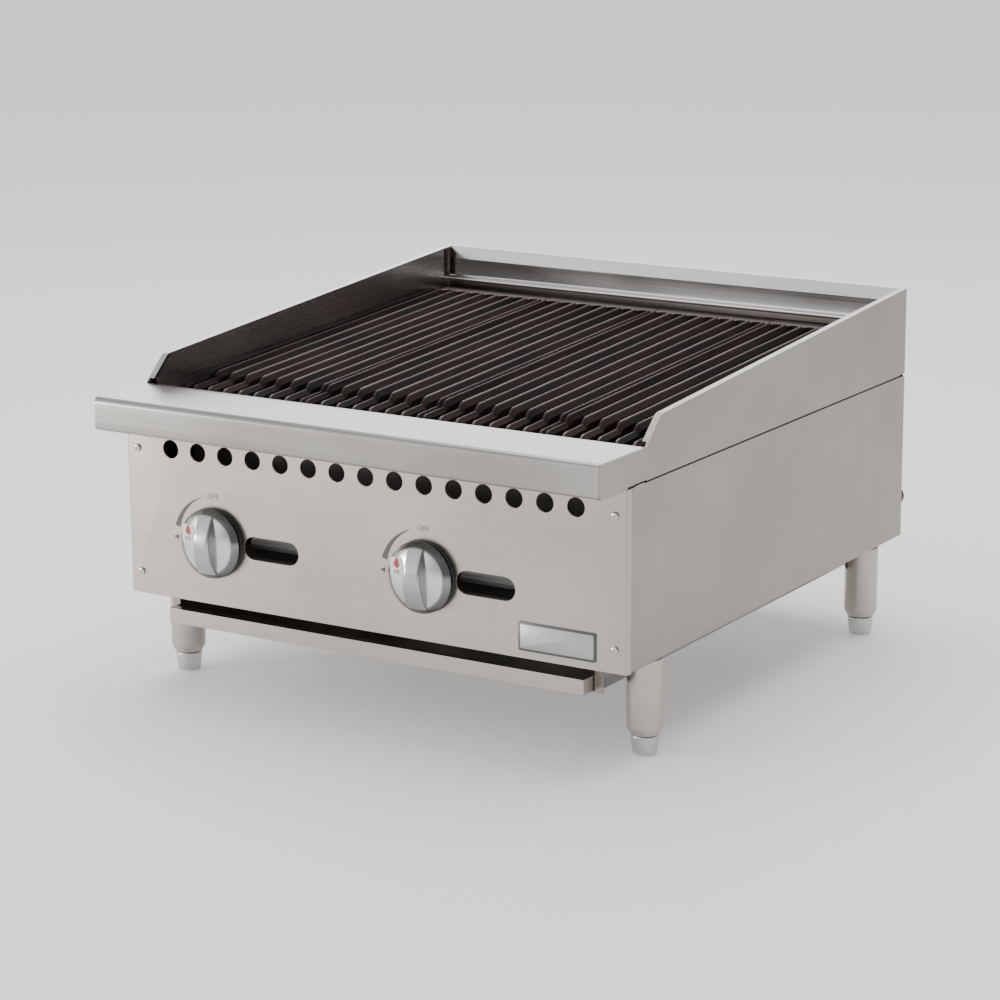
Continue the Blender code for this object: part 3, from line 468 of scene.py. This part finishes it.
def rounded_slab(outline, low, high, radius, steps=4):
    """Rings (a, b, c) of a slab from height low to high, its upper rim eased by a quarter circle.

    At turn t from 0 to 90 degrees the outline is drawn in by radius * (1 - cos t), while the height follows
    the other leg of the circle, high - radius * (1 - sin t)."""
    normal = inward(outline)
    turns = np.radians(np.linspace(0, 90, steps + 1))
    draw = [(0.0, low)]
    draw += [(radius * (1 - np.cos(t)), high - radius * (1 - np.sin(t))) for t in turns]
    rings = []
    for inset, height in draw:
        flat = outline + normal * inset
        rings.append(np.column_stack([flat, np.full(len(flat), height)]))
    return np.stack(rings)


def rectangle(width, height, radius, count=5):
    """Outline of a rectangle with round corners, centred on (0, 0)."""
    a, b = width / 2 - radius, height / 2 - radius
    parts = [
        turned_arc((a, -b), radius, -90, 0, count), turned_arc((a, b), radius, 0, 90, count),
        turned_arc((-a, b), radius, 90, 180, count), turned_arc((-a, -b), radius, 180, 270, count),
    ]
    return np.concatenate(parts)


def on_panel(rings, centre):
    """Lay rings on the control panel: a to the right, b up, c out towards the cook."""
    a, b, c = np.moveaxis(rings, -1, 0)
    return np.stack([centre[0] + a, centre[1] - c, centre[2] + b], -1)


def lathe(profile, sides=96):
    """Rings of a turned shape: each (radius, height) pair becomes a circle of that radius."""
    profile = np.asarray(profile, float)
    angle = 2 * np.pi * np.arange(sides) / sides
    radius, height = profile[:, 0][:, None], profile[:, 1][:, None]
    flat = np.ones_like(angle)[None, :]
    return np.stack([radius * np.cos(angle), radius * np.sin(angle), height * flat], -1)


def eased(points, radius, steps=5):
    """An open path whose inner corners are rounded by a quadratic curve of about this radius."""
    points = np.asarray(points, float)
    t = np.linspace(0, 1, steps + 1)[:, None]
    result = [points[:1]]
    for before, corner, after in zip(points, points[1:], points[2:]):
        reach = [min(radius, 0.45 * np.linalg.norm(end - corner)) for end in (before, after)]
        a = corner + (before - corner) / np.linalg.norm(before - corner) * reach[0]
        b = corner + (after - corner) / np.linalg.norm(after - corner) * reach[1]
        result.append((1 - t) ** 2 * a + 2 * t * (1 - t) * corner + t ** 2 * b)
    result.append(points[-1:])
    return np.concatenate(result)


print("helpers ready")

# %% [markdown]
# ## Grates
#
# Each of the four castings has ridge-topped bars between a flat rear rail and a lower front rail, and round
# slot ends where bars meet a rail.  A bar is one profile carried along the grate: a narrow round ridge,
# flanks that spread to the bar's full width, and a slightly tapered foot.  Near the front the ridge steps
# down, and it ends in a blunt nose on the front rail.

# %% Grate measures
SLOT_COUNT = 7
BAR_PITCH = 0.0204
BAR_BASE = 0.0086
REAR_RAIL = 0.016
REAR_DROP = 0.0012
FRONT_RAIL = 0.022
FRONT_DROP = 0.0120
STEP_DROP = 0.0065
TIP_END, STEP_END, NOSE_START = 0.016, 0.050, 0.058
GRATE_DEPTH = 0.022
RIDGE_RADIUS = 0.0015
WORN_AND_HIGHLIT_DEPTH = 0.0017
TIE_WIDTH, TIE_Y, TIE_DROP = 0.012, 0.276, 0.0113
grate_low, grate_high = span("grate_2")
GRATE_WIDTH = grate_high[0] - grate_low[0]
GRATE_FRONT, GRATE_REAR = grate_low[1], grate_high[1]
GRATE_SLOPE = 0.049
BARS_END = GRATE_REAR - REAR_RAIL - (BAR_PITCH - BAR_BASE) / 2 + 0.001


def ridge_height(y):
    """Height of the ridges, which rise evenly towards the rear."""
    return grate_low[2] + GRATE_DEPTH + (y - GRATE_FRONT) * GRATE_SLOPE


print("grate", round(GRATE_WIDTH, 4), "wide; ridges from", round(ridge_height(GRATE_FRONT), 4),
      "to", round(ridge_height(GRATE_REAR), 4))


# %% One bar
def bar_profile(width, count=9):
    """Right half of a bar's section, from the foot to the ridge: (across, below the ridge).

    The ridge is a small arc, the flank a straight line with two points near the ridge, where the pale band of
    worn metal and painted highlight ends, and the side leans in towards the foot."""
    half = width / 2
    arc_points = turned_arc((0, -RIDGE_RADIUS), RIDGE_RADIUS, 38, 90, count)
    flank = turned_arc((half - 0.0012, -0.0072), 0.0012, -5, 40, 5)
    foot = np.array([(half * 0.72 - 0.0008, -GRATE_DEPTH + 0.0006), (half * 0.72, -GRATE_DEPTH + 0.0016)])
    shoulder = arc_points[0] + (flank[-1] - arc_points[0]) * np.array([[0.20], [0.10]])
    return np.concatenate([foot, flank, shoulder, arc_points])


def nose_drop(run):
    """How far a bar's top lies below the ridges' line at a distance from the front end.

    The tip and the rise to the ridge are quarter circles (1 - sqrt(1 - u^2)), with a level step between."""
    tip = np.clip((TIP_END - run) / 0.006, 0, 1)
    rise = np.clip((NOSE_START - run) / (NOSE_START - STEP_END), 0, 1)
    low = STEP_DROP + 0.005 * (1 - np.sqrt(1 - tip ** 2))
    return np.where(run < STEP_END, low, STEP_DROP * (1 - np.sqrt(1 - rise ** 2)))


def grate_bar(x, width):
    """Skin of one bar, and how pale each of its points is: partly worn metal, partly a painted highlight."""
    right = bar_profile(width)
    left = right[::-1][1:] * (-1, 1)
    section = np.concatenate([right, left])
    run = np.concatenate([
        np.linspace(0.010, TIP_END, 7), np.linspace(0.018, STEP_END - 0.001, 6),
        NOSE_START - (NOSE_START - STEP_END) * np.cos(np.radians(np.linspace(0, 90, 8))),
        np.linspace(NOSE_START + 0.004, BARS_END - GRATE_FRONT, 40),
    ])
    y = GRATE_FRONT + run
    across, below = section[:, 0], section[:, 1]
    keep = np.clip((below + GRATE_DEPTH) / GRATE_DEPTH, 0, 1)
    wobble = 0.00018 * np.sin(y * 61.0 + x * 300.0)[:, None]
    rings = np.stack([
        x + across[None, :] + wobble * keep,
        np.repeat(y[:, None], len(section), 1),
        ridge_height(y)[:, None] + below[None, :] - nose_drop(run)[:, None] * keep,
    ], -1)
    # The pale band on the ridge is partly worn metal and partly a painted highlight; the nose tips get a
    # painted highlight.
    near_ridge = np.clip(1.0 + below / WORN_AND_HIGHLIT_DEPTH, 0, 1)
    wear_and_highlight = 0.75 + 0.25 * np.sin(y * 17.0 + x * 140.0)
    wear_and_highlight = np.where(run < NOSE_START - 0.002, np.where(run < 0.017, 0.8, 0.10), wear_and_highlight)
    if width < BAR_BASE:
        wear_and_highlight = wear_and_highlight * 0.4
    return skin(rings), (near_ridge[None, :] * wear_and_highlight[:, None]).ravel()


# %% The rails and a whole grate
def sloped(rings):
    """Lower c from a height above the ridges' plane to a real height."""
    rings = rings.copy()
    rings[..., 2] += ridge_height(rings[..., 1])
    return rings


def scalloped(half, flat_y, edge_y, slots, radius):
    """Outline of a rail: a straight edge at flat_y, and a round bite at edge_y for every slot."""
    away = 1 if flat_y > edge_y else -1
    parts = [np.array([(-half, flat_y), (-half, edge_y)])]
    for x in slots:
        parts.append(turned_arc((x, edge_y), radius, 180, 180 - away * 180, 12))
    parts.append(np.array([(half, edge_y), (half, flat_y)]))
    return np.concatenate(parts)


def grate(number):
    """Bars, rails and the middle tie of one casting."""
    node = f"grate_{number}"
    x0 = middle(node)[0]
    slots = (np.arange(SLOT_COUNT) - (SLOT_COUNT - 1) / 2) * BAR_PITCH
    slot_half = (BAR_PITCH - BAR_BASE) / 2
    edge = GRATE_WIDTH / 2 - 0.0002
    outer = slots[-1] + slot_half
    bars = [((slots[i] + slots[i + 1]) / 2, BAR_BASE + 0.0003) for i in range(SLOT_COUNT - 1)]
    bars += [(side * (edge + outer) / 2, edge - outer) for side in (-1, 1)]
    skins, values = [], []
    for x, width in bars:
        part, scraped_and_highlit = grate_bar(x0 + x, width)
        skins.append(part)
        values.append(scraped_and_highlit)
    rear = scalloped(edge, GRATE_REAR, GRATE_REAR - REAR_RAIL - slot_half, slots, slot_half)
    front = scalloped(edge, GRATE_FRONT, GRATE_FRONT + FRONT_RAIL, slots, slot_half)
    tie = rectangle(2 * edge, TIE_WIDTH, 0.0005) + (0, GRATE_FRONT + TIE_Y)
    for outline, top, depth in ((rear, -REAR_DROP, GRATE_DEPTH), (front, -FRONT_DROP, GRATE_DEPTH),
                                (tie, -TIE_DROP, GRATE_DEPTH - 0.001)):
        flat = rounded_slab(outline + (x0, 0), -depth + 0.0002, top, 0.0010, 3)
        skins.append(skin(sloped(flat)))
        # The rear rail's top is pale as a painted highlight, and partly worn.
        bare_and_highlight = 0.85 if outline is rear else 0.03
        values.append(np.where(flat[..., 2] > top - 0.0006, bare_and_highlight, 0.02).ravel())
    return build_piece(f"grate_casting_{number}", skins, iron_scraped_and_highlit, node, (node,),
                       np.concatenate(values), 50)


for number in range(1, 5):
    casting = grate(number)
    print(casting.name, len(casting.data.vertices), "points")

# %% [markdown]
# ## Front ledge
#
# The ledge is one sheet bent over the front and back under it, with a flange at the rear that drops into the
# cooking well.  The bend at the front is the most looked-at edge of the grill, so the sheet's section is
# worked out with true arcs and carried across the width.


# %% Folded sheet across the width
def folded_section(path, thickness):
    """Closed section of a folded sheet: the outer path and the same path moved inwards by the thickness."""
    step = np.gradient(path, axis=0)
    step /= np.linalg.norm(step, axis=1, keepdims=True) + 1e-12
    inner = path + np.stack([-step[:, 1], step[:, 0]], -1) * thickness
    return np.concatenate([path, inner[::-1]])


SHEET = 0.0016
ledge_low, ledge_high = span("front_ledge")
CORNER = 0.0062
front, rear, under = ledge_low[1], ledge_high[1], ledge_low[2]
path = np.concatenate([
    [(rear, DECK_Z - 0.0298), (rear, DECK_Z - 0.016)],
    turned_arc((rear - 0.0026, DECK_Z - 0.0026), 0.0026, 0, 90, 8),
    np.column_stack([np.linspace(rear - 0.012, front + 0.014, 6), np.full(6, DECK_Z)]),
    turned_arc((front + CORNER, DECK_Z - CORNER), CORNER, 90, 180, 14),
    [(front, DECK_Z - 0.014), (front, under + 0.012)],
    turned_arc((front + 0.0036, under + 0.0036), 0.0036, 180, 270, 10),
    [(front + 0.012, under), (PANEL_Y - 0.0012, under)],
])
section = folded_section(path, SHEET)
stations = np.linspace(ledge_low[0], ledge_high[0], 9)
rings = np.stack([np.column_stack([np.full(len(section), x), section]) for x in stations])
# The ledge's darker steel is painted shade.
ledge = build_piece("ledge_shelf", [skin(rings)], steel_deck_painted_shade, "cabinet", ("front_ledge",))
print(ledge.name, "reaches", round((PANEL_Y - front) * 1000, 1), "mm in front of the panel")

# %% [markdown]
# ## Knobs
#
# A knob is a plated die casting: a turned skirt with a sloping rim, a disc let into its face, and a grip
# standing on the disc.  The skirt and the grip are plated in darker tones than the disc as painted shade.
# From the front the grip is a bar that narrows a little towards the pointing end; from the side it is a bow,
# whose height shrinks towards the ends like a circle's.

# %% Skirt, disc and grip
SKIRT_BACK, FACE, TIP = 0.0060, 0.0130, 0.0248
GRIP_HALF, GRIP_REACH, GRIP_LENGTH = 0.0102, 0.0312, 0.0330


def knob_skirt():
    """Turned profile from the back, round the rim, over the slope and in across the dished face."""
    rim = turned_arc((0.0363, SKIRT_BACK + 0.0014), 0.0012, -90, 30, 8)
    lip = turned_arc((0.0316, FACE - 0.0010), 0.0010, 30, 90, 6)
    dish = np.array([(0.0302, FACE - 0.0001), (0.0285, FACE - 0.0006), (0.0100, FACE - 0.0007),
                     (0.0, FACE - 0.0007)])
    return lathe(np.concatenate([[(0.0, SKIRT_BACK)], rim, lip, dish]))


def knob_grip():
    """Rings (a, b, c) of the grip, one for each height b on the knob.

    With k = 1 - (b / length)^2 the top stands k times the rise above the face, and the half width falls
    evenly with b.  Each section is a rounded box, the curve |cos|^0.22, |sin|^0.22."""
    b = GRIP_REACH * np.sin(np.radians(np.linspace(-90, 90, 45)))[:, None]
    u = np.radians(np.linspace(0, 180, 61))[None, :]
    shrink = 1 - (b / GRIP_LENGTH) ** 2
    foot = FACE - 0.003
    top = FACE + (TIP - FACE) * shrink
    sine, cosine = np.abs(np.sin(u)), np.cos(u)
    half = GRIP_HALF - 0.045 * b
    across = half * np.sign(cosine) * np.abs(cosine) ** 0.22
    out = foot + (top - foot) * sine ** 0.22
    return np.stack([across, b * np.ones_like(u), out], -1)


def knob_disc():
    """Turned profile of the thin bright disc in the knob's face."""
    return lathe([(0.0, FACE - 0.0012), (0.0308, FACE - 0.0012), (0.0308, FACE - 0.0004), (0.0304, FACE),
                  (0.0, FACE)])


def knob(side):
    """Skirt of one knob, and the disc and grip that ride with it."""
    centre = np.array([KNOB_CENTRE[side][0], PANEL_Y, KNOB_CENTRE[side][2]])
    body = f"knob_{side}"
    skirt = skin(on_panel(knob_skirt(), centre))
    # The skirt's dark plating and the grip's grey plating are painted shade; the disc keeps the bright
    # plating.
    rim = build_piece(f"knob_skirt_{side}", [skirt], skirt_plating_painted_shade, body,
                      (f"knob_{side}", f"valve_stem_{side}"), angle=50)
    for part, rings, finish in (("disc", knob_disc(), plating), ("grip", knob_grip(), grip_plating_painted_shade)):
        build_piece(f"knob_{part}_{side}", [skin(on_panel(rings, centre))], finish, body, (), angle=50)
    return rim


for side in SIDES:
    print(knob(side).name, "on its axis at", np.round(KNOB_CENTRE[side], 4))

# %% [markdown]
# ## Printing
#
# The panel has a printed scale round each knob: the word for off at the top, and a swoosh that grows
# towards full flame at nine o'clock.  On the knob's face is a pale card with a flame.  They are thin
# closed shapes a tenth of a millimetre or so thick, so that they are real surfaces of their own.

# %% Scale and card
INK_THICK = 0.00012
SCALE_RADIUS = 0.0485


def swoosh():
    """A band along an arc whose width grows from nothing to its full value: radius +- half width."""
    t = np.linspace(0, 1, 40)
    angle = np.radians(108 + 58 * t)
    half = (0.0002 + 0.0032 * t)[:, None]
    spoke = np.stack([np.cos(angle), np.sin(angle)], -1)
    outer, inner = (SCALE_RADIUS + half) * spoke, (SCALE_RADIUS - half) * spoke
    return np.concatenate([outer, inner[::-1]])


def flat_plate(outline, low, high):
    """Rings of a thin plate with upright sides."""
    return np.stack([np.column_stack([outline, np.full(len(outline), h)]) for h in (low, high)])


def word(name, text, size, centre, out, material, body):
    """Generic lettering, made a thin mesh and laid parallel to the panel."""
    curve = bpy.data.curves.new(name, "FONT")
    curve.body = text
    curve.size = size
    curve.align_x = "CENTER"
    curve.align_y = "CENTER"
    curve.extrude = INK_THICK / 2
    curve.resolution_u = 3
    holder = bpy.data.objects.new(name + "_text", curve)
    bpy.context.scene.collection.objects.link(holder)
    bpy.context.view_layer.update()
    mesh = bpy.data.meshes.new_from_object(holder)
    bpy.data.objects.remove(holder)
    mesh.transform(Matrix.Rotation(np.radians(90), 4, "X"))
    mesh.transform(Matrix.Translation((centre[0], centre[1] - out, centre[2])))
    mesh.materials.clear()
    mesh.materials.append(material)
    mesh.name = name
    piece = bpy.data.objects.new(name, mesh)
    bpy.context.scene.collection.objects.link(piece)
    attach(piece, body)
    return piece


def flame():
    """Drop shape: a circle whose upper half is drawn out to a point that leans a little."""
    t = np.linspace(0, 2 * np.pi, 36, endpoint=False)
    a = 0.0021 * np.sin(t) * (1 - 0.45 * np.cos(t))
    b = 0.0030 * np.cos(t) + 0.0008 * np.cos(t) ** 3
    return np.stack([a + 0.0004 * np.cos(t) ** 2, b], -1)


def print_scale(side, centre):
    """The scale on the panel: a growing band, an arrow at nine o'clock and the word for off."""
    arrow = np.array([(-0.0530, 0.0), (-0.0462, 0.0029), (-0.0462, -0.0029)])
    marks = [skin(on_panel(flat_plate(shape, 0.00003, INK_THICK), centre)) for shape in (swoosh(), arrow)]
    build_piece(f"printed_scale_{side}", marks, ink_brown, "cabinet", ())
    top = centre + (0, 0, SCALE_RADIUS + 0.0005)
    word(f"printed_off_{side}", "OFF", 0.0086, top, INK_THICK, ink_faint, "cabinet")


def print_card(side, centre):
    """The card on the knob's face, with its flame and its word."""
    body = f"knob_{side}"
    spot = centre + (-0.0238, 0, 0.0092)
    card = flat_plate(rectangle(0.0156, 0.0205, 0.0036), FACE - 0.0016, FACE + 0.0003)
    build_piece(f"sticker_{side}", [skin(on_panel(card, spot))], label_white, body, ())
    fire = flat_plate(flame() * 1.45 + (0, 0.0046), FACE + 0.0002, FACE + 0.0004)
    build_piece(f"sticker_flame_{side}", [skin(on_panel(fire, spot))], label_red, body, ())
    word(f"sticker_word_{side}", "HI", 0.0066, spot + (0, 0, -0.0052), FACE + 0.0004, ink, body)


for side in SIDES:
    knob_centre = np.array([KNOB_CENTRE[side][0], PANEL_Y, KNOB_CENTRE[side][2]])
    print_scale(side, knob_centre)
    print_card(side, knob_centre)

# %% [markdown]
# ## Screws and the plate
#
# The panel is held by four pan-head screws with a cross recess.  The head is a height over a disc: a low
# dome, less a cross-shaped dip.  The plate at the lower right is blank: a satin field on a darker base,
# which shows as a narrow border.


# %% Screw heads
def screw_head(node):
    """Height over a disc at radius r and angle a: a dome, less a dip where |x| or |y| is small."""
    low, high = span(node)
    centre = (low + high) / 2
    radius = (high[0] - low[0]) / 2 - 0.0001
    thick = high[1] - low[1] - 0.0002
    r = radius * np.concatenate([np.linspace(0, 0.6, 22), np.linspace(0.63, 1.0, 14)])
    angle = 2 * np.pi * np.arange(96) / 96
    x, z = r[:, None] * np.cos(angle), r[:, None] * np.sin(angle)
    dome = 0.35 + 0.65 * np.sqrt(np.clip(1 - (r / radius) ** 2, 0, 1))[:, None]
    arm, reach = 0.10 * radius, 0.52 * radius
    narrow = np.minimum(np.abs(x), np.abs(z))
    dip = np.clip((arm * 1.6 - narrow) / arm, 0, 1) * np.clip((reach - np.hypot(x, z)) / (0.2 * reach), 0, 1)
    height = thick * (dome - 0.45 * dip)
    top = np.stack([x, z, height], -1)
    base = np.stack([x[-1:], z[-1:], np.zeros_like(x[-1:])], -1)
    bottom = np.zeros((1, 96, 3))
    rings = np.concatenate([top, base, bottom])
    place = np.array([centre[0], high[1], centre[2]])
    return skin(on_panel(rings, place))


for number in range(1, 5):
    node = f"panel_screw_{number}"
    build_piece(f"screw_head_{number}", [screw_head(node)], plated_steel, "cabinet", (node,), angle=40)
print("screws done")

# %% The blank plate
plate_low, plate_high = span("badge_plate")
plate_size = plate_high - plate_low
plate_place = np.array([middle("badge_plate")[0], plate_high[1], middle("badge_plate")[2]])
base = rounded_slab(rectangle(plate_size[0], plate_size[2], 0.0022), 0.0, 0.0007, 0.0002, 2)
BORDER = 0.005
field_outline = rectangle(plate_size[0] - BORDER, plate_size[2] - BORDER, 0.0016)
field = rounded_slab(field_outline, 0.0005, 0.00095, 0.0002, 2)
build_piece("plate_base", [skin(on_panel(base, plate_place))], plate_border, "cabinet", ("badge_plate",))
build_piece("plate_field", [skin(on_panel(field, plate_place))], plate_satin, "cabinet", ())
print("plate", np.round(plate_size * 1000, 1))

# %% [markdown]
# ## Legs and feet
#
# Each leg is a drawn tube with a short taper at the bottom, and a threaded foot that screws out of it.
# Both are turned shapes.


# %% Turned legs
def upright(profile, centre):
    """Stand a turned shape on its centre."""
    rings = lathe(profile)
    rings[..., 0] += centre[0]
    rings[..., 1] += centre[1]
    return skin(rings)


for depth in ("front", "rear"):
    for side in SIDES:
        leg, foot = f"leg_{depth}_{side}", f"foot_{depth}_{side}"
        centre, (low, high) = middle(leg), span(leg)
        radius, seat, top = (high[0] - low[0]) / 2, low[2], high[2]
        tube = eased([(0.0, seat + 0.0545), (0.0054, seat + 0.0545), (0.0054, seat), (0.0146, seat),
                      (0.0153, seat + 0.0008), (radius, seat + 0.0072), (radius, top - 0.0008),
                      (radius - 0.0008, top), (0.0, top)], 0.0009)
        build_piece(f"leg_tube_{depth}_{side}", [upright(tube, centre)], steel_upright, "cabinet", (leg,))
        cup = eased([(0.0, 0.0), (0.0115, 0.0), (0.0125, 0.0010), (0.0146, seat - 0.0016),
                     (0.0141, seat - 0.0004), (0.0049, seat - 0.0004), (0.0049, seat + 0.0490),
                     (0.0, seat + 0.0490)], 0.0007)
        build_piece(f"foot_cup_{depth}_{side}", [upright(cup, centre)], plated_steel, foot, (foot,))
print("legs are", round(radius * 2000, 1), "mm across")

# %% [markdown]
# ## Sheets, burners and the rest
#
# Everything else already has its right shape.  Its triangles are loose in the frame, so a copy is merged,
# its edges are eased by a narrow bevel, which is what catches light on a folded or cut sheet, and it is
# shaded smoothly across the bends.


# %% Eased copies
def eased_copy(node, material, bevel=0.0, angle=30):
    """A merged copy of a part of the frame with eased edges."""
    body = next(b for b, members in frame["record"]["behaviour"]["bodies"].items() if node in members)
    mesh = frame["nodes"][node].data.copy()
    mesh.name = node + "_finished"
    bm = bmesh.new()
    bm.from_mesh(mesh)
    bmesh.ops.remove_doubles(bm, verts=bm.verts, dist=2e-6)
    flat = np.radians(0.2)
    bmesh.ops.dissolve_limit(bm, angle_limit=flat, verts=bm.verts, edges=bm.edges, delimit={"NORMAL"})
    bm.to_mesh(mesh)
    bm.free()
    mesh.materials.clear()
    mesh.materials.append(material)
    mesh.shade_smooth()
    mesh.set_sharp_from_angle(angle=np.radians(angle))
    piece = bpy.data.objects.new(node + "_finished", mesh)
    bpy.context.scene.collection.objects.link(piece)
    if bevel:
        ease = piece.modifiers.new("ease", "BEVEL")
        ease.width = bevel
        ease.segments = 2
        ease.limit_method = "ANGLE"
        ease.angle_limit = np.radians(40)
        ease.harden_normals = True
    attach(piece, body)
    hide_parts(node)
    return piece


FINE = 0.00025
groups = [
    (steel_across, FINE, ("control_panel", "back_panel", "drip_tray")),
    (steel_mirror, FINE, ("splash_back",)),
    # Painted shade on these sheets: a darker copy of the same steel.
    (steel_lengthways_painted_shade, FINE, ("side_panel_right", "splash_right", "tray_rail_left", "tray_rail_right")),
    # Painted light on these sheets: a paler copy of the same steel.
    (steel_left_painted_light, FINE, ("side_panel_left", "splash_left")),
    (steel_dull, 0.0, ("firebox_front", "firebox_rear", "firebox_left", "firebox_right", "radiant_1",
                       "radiant_2", "radiant_3", "radiant_4", "radiant_rack", "burner_rest",
                       "grate_support_front", "grate_support_rear")),
    (iron, 0.0, ("burner_left", "burner_right")),
    (brass, 0.0003, ("valve_left", "valve_right", "orifice_left", "orifice_right",
                     "air_shutter_left", "air_shutter_right")),
    # The black bezels are a painted shadow of the gap behind each knob.
    (bezel_black_painted_shadow, 0.0003, ("knob_bezel_left", "knob_bezel_right")),
    (pipe_black, 0.0, ("gas_manifold",)),
    # The pilot tubes' dark grey is painted shade.
    (tube_painted_shade, 0.0, ("pilot_tube_left", "pilot_tube_right")),
    (tube_grey, 0.0, ("pilot_burner_left", "pilot_burner_right")),
]
for material, bevel, names in groups:
    for node in names:
        eased_copy(node, material, bevel)
    print(material.name, "on", len(names), "parts")
